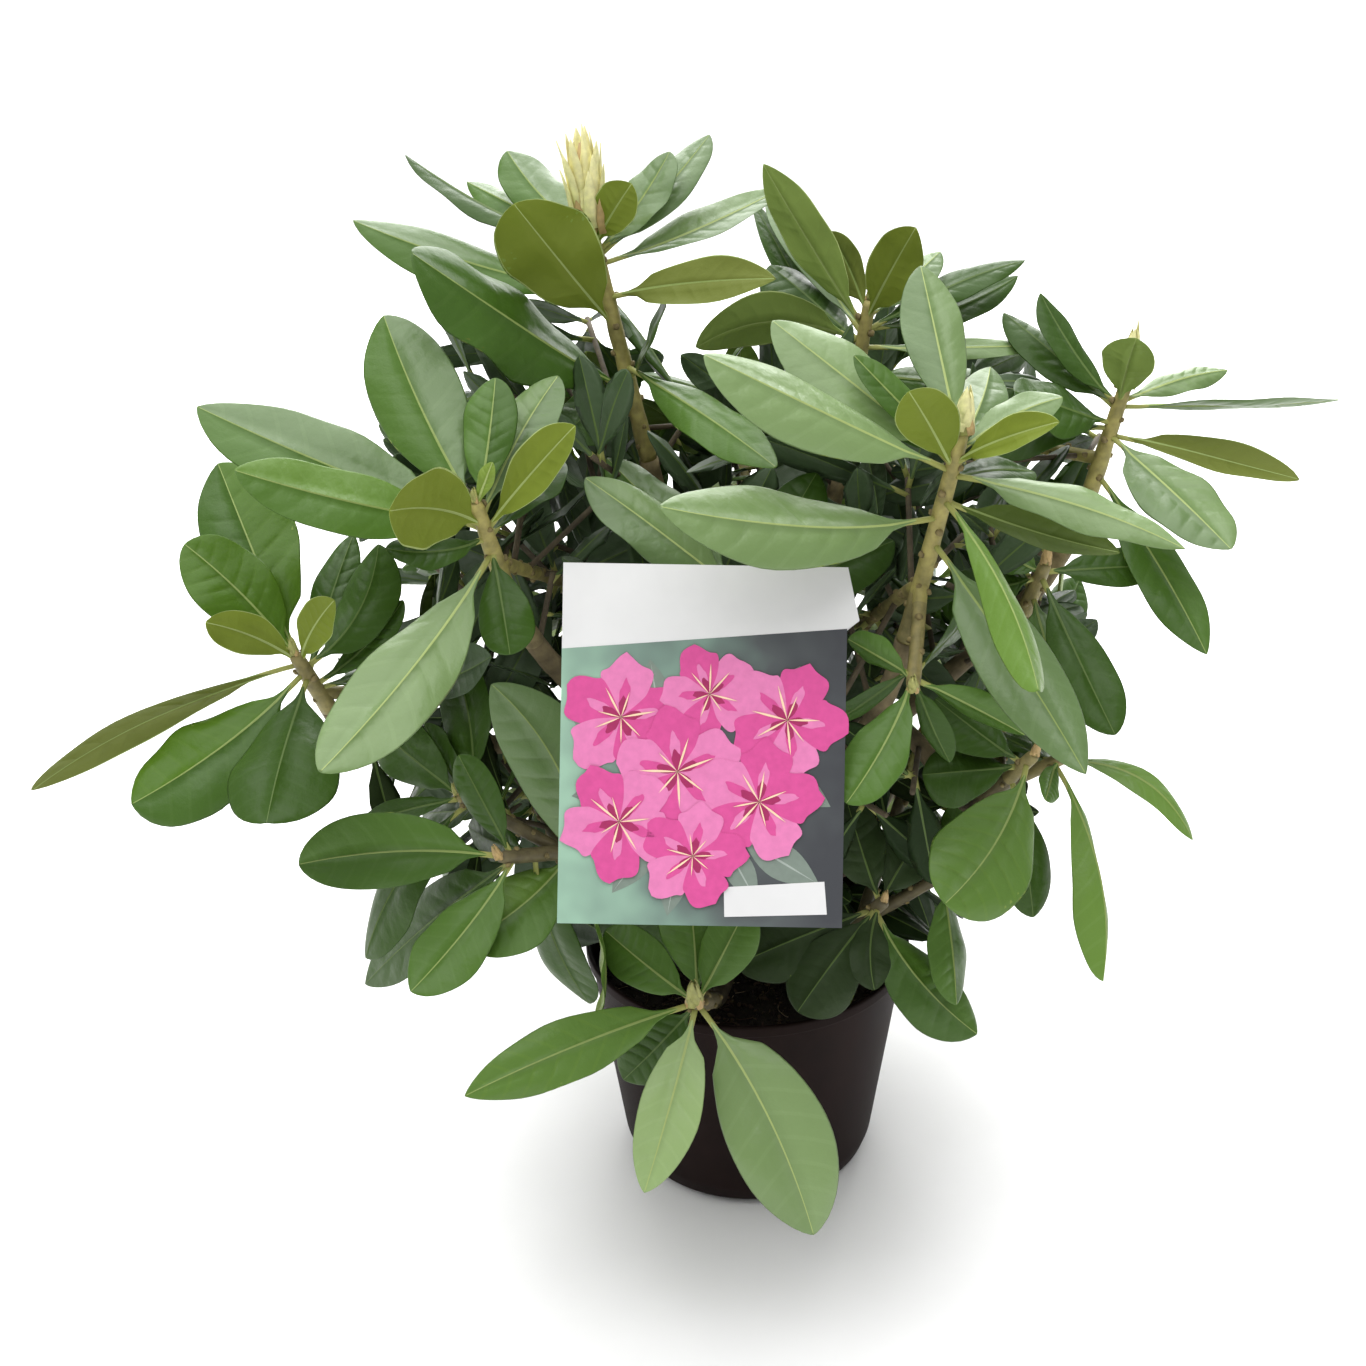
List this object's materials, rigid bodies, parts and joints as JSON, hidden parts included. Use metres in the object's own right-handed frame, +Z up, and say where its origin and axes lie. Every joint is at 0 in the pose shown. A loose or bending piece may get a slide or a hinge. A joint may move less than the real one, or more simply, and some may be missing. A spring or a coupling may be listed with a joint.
{
  "type": "potted shrub",
  "caption": "Evergreen shrub with long leathery leaves in whorls on short woody boughs, growing in a round plastic nursery pot of peat, with a picture label.",
  "frame": {"origin": "the middle of the pot's flat underside", "axes": "+Z up the plant, -Y towards the side with the label, +X to the right as seen from that side"},
  "size_m": [0.6916, 0.5222, 0.6289],
  "materials": {
    "pot_plastic": "moulded, slightly dusty",
    "peat": "loose and rough",
    "bark": "young bark",
    "foliage": "leathery with a soft sheen",
    "label": "printed and laminated",
    "tie": "translucent plastic"
  },
  "bodies": {
    "root": {"bough_back_low_1": "bark", "bough_back_low_2": "bark", "bough_back_low_3": "bark", "bough_back_middle_1": "bark", "bough_back_middle_2": "bark", "bough_back_middle_3": "bark", "bough_back_middle_4": "bark", "bough_back_middle_5": "bark", "bough_back_upper_1": "bark", "bough_back_upper_2": "bark", "bough_back_upper_3": "bark", "bough_centre": "bark", "bough_far_left": "bark", "bough_far_right": "bark", "bough_front_low": "bark", "bough_lower_left": "bark", "bough_pot_right": "bark", "bough_right_front": "bark", "bough_right_low": "bark", "bough_right_mid": "bark", "bough_top": "bark", "bough_top_right": "bark", "bough_upper_left": "bark", "label_card": "label", "label_tie": "tie", "mass_back_low_1": "foliage", "mass_back_low_2": "foliage", "mass_back_low_3": "foliage", "mass_back_middle_1": "foliage", "mass_back_middle_2": "foliage", "mass_back_middle_3": "foliage", "mass_back_middle_4": "foliage", "mass_back_middle_5": "foliage", "mass_back_upper_1": "foliage", "mass_back_upper_2": "foliage", "mass_back_upper_3": "foliage", "mass_centre": "foliage", "mass_far_left": "foliage", "mass_far_right": "foliage", "mass_front_low": "foliage", "mass_lower_left": "foliage", "mass_pot_right": "foliage", "mass_right_front": "foliage", "mass_right_low": "foliage", "mass_right_mid": "foliage", "mass_top": "foliage", "mass_top_right": "foliage", "mass_upper_left": "foliage", "peat": "peat", "pot": "pot_plastic", "trunk": "bark"}
  },
  "joints": []
}
